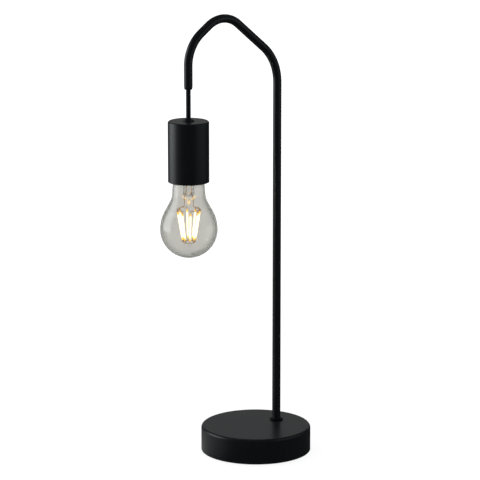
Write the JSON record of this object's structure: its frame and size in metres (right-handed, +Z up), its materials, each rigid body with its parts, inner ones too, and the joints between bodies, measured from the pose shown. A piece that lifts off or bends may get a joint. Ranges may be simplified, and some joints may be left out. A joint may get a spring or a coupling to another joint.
{
  "type": "table lamp",
  "caption": "Table lamp: a round weighted base, a black tube bent over like a crook, and a lampholder hung from its mouth on a short cord, with a clear filament lamp.",
  "frame": {"origin": "centre of the flat face the base stands on", "axes": "+Z up along the upright tube; the tube's bends lie in the XZ plane, with the upright on the +X side and the hanging lampholder on the -X side; the cable entry faces +X"},
  "size_m": [0.1805, 0.118, 0.4781],
  "materials": {
    "black_lacquer": "fine satin black powder coat",
    "cast_iron": "raw sand-cast iron",
    "zinc_steel": "bright zinc plate",
    "pad_rubber": "fine-celled black foam rubber",
    "black_plastic": "moulded black plastic",
    "white_plastic": "translucent white moulded plastic",
    "cord_sheath": "smooth black cable sheath",
    "core_insulation": "coloured wire insulation",
    "brass": "drawn brass",
    "ceramic": "glazed steatite",
    "clear_glass": "clear blown glass",
    "nickel_cap": "nickel-plated brass",
    "cap_glass": "black vitrite",
    "solder": "dull solder",
    "filament_coating": "yellow phosphor coating, lit warm white",
    "filament_metal": "thin nickel-iron wire",
    "circuit_board": "printed circuit board"
  },
  "bodies": {
    "stand": {"base_shell": "black_lacquer", "base_weight": "cast_iron", "base_plate": "zinc_steel", "base_pad": "pad_rubber", "plate_screws": "zinc_steel", "foot_collar": "black_lacquer", "tube": "black_lacquer", "foot_washer": "zinc_steel", "foot_nut": "zinc_steel", "cable_entry": "black_plastic", "terminal_block": "white_plastic", "block_inserts": "brass", "block_screws": "zinc_steel", "lead_in_cord": "cord_sheath", "lead_in_cores": "core_insulation", "mouth_bush": "black_plastic"},
    "cord_knuckle": {"cord_bend": "cord_sheath"},
    "pendant": {"pendant_cord": "cord_sheath", "cord_grip": "black_plastic", "holder_cup": "black_lacquer", "holder_cap": "black_plastic", "holder_body": "black_plastic", "contact_carrier": "ceramic", "threaded_shell": "brass", "centre_contact": "brass", "holder_terminals": "brass", "terminal_screws": "zinc_steel", "holder_leads": "core_insulation"},
    "lamp_glass": {"lamp_envelope": "clear_glass"},
    "lamp_core": {"lamp_cap": "nickel_cap", "cap_insulator": "cap_glass", "cap_eyelet": "solder", "lamp_driver": "circuit_board", "stem": "clear_glass", "support_wires": "filament_metal", "filaments": "filament_coating", "filament_tabs": "filament_metal", "foot_ring": "filament_metal"}
  },
  "joints": [
    {"name": "pendant_swing", "type": "hinge", "parent": "stand", "child": "cord_knuckle", "pos_m": [-0.09, 0, 0.404], "axis": [0, 1, 0], "range_deg": [-30, 30]},
    {"name": "pendant_sway", "type": "hinge", "parent": "cord_knuckle", "child": "pendant", "pos_m": [-0.09, 0, 0.404], "axis": [1, 0, 0], "range_deg": [-30, 30]},
    {"name": "lamp_travel", "type": "slide", "parent": "pendant", "child": "lamp_glass", "axis": [0, 0, -1], "range_m": [0, 0.0163]},
    {"name": "lamp_turn", "type": "hinge", "parent": "lamp_glass", "child": "lamp_core", "pos_m": [-0.09, 0, 0.32], "axis": [0, 0, -1], "range_deg": [0, 1620]}
  ],
  "couplings": [
    {"joint": "lamp_turn", "follows": "lamp_travel", "rad_per_m": 1731.4}
  ]
}
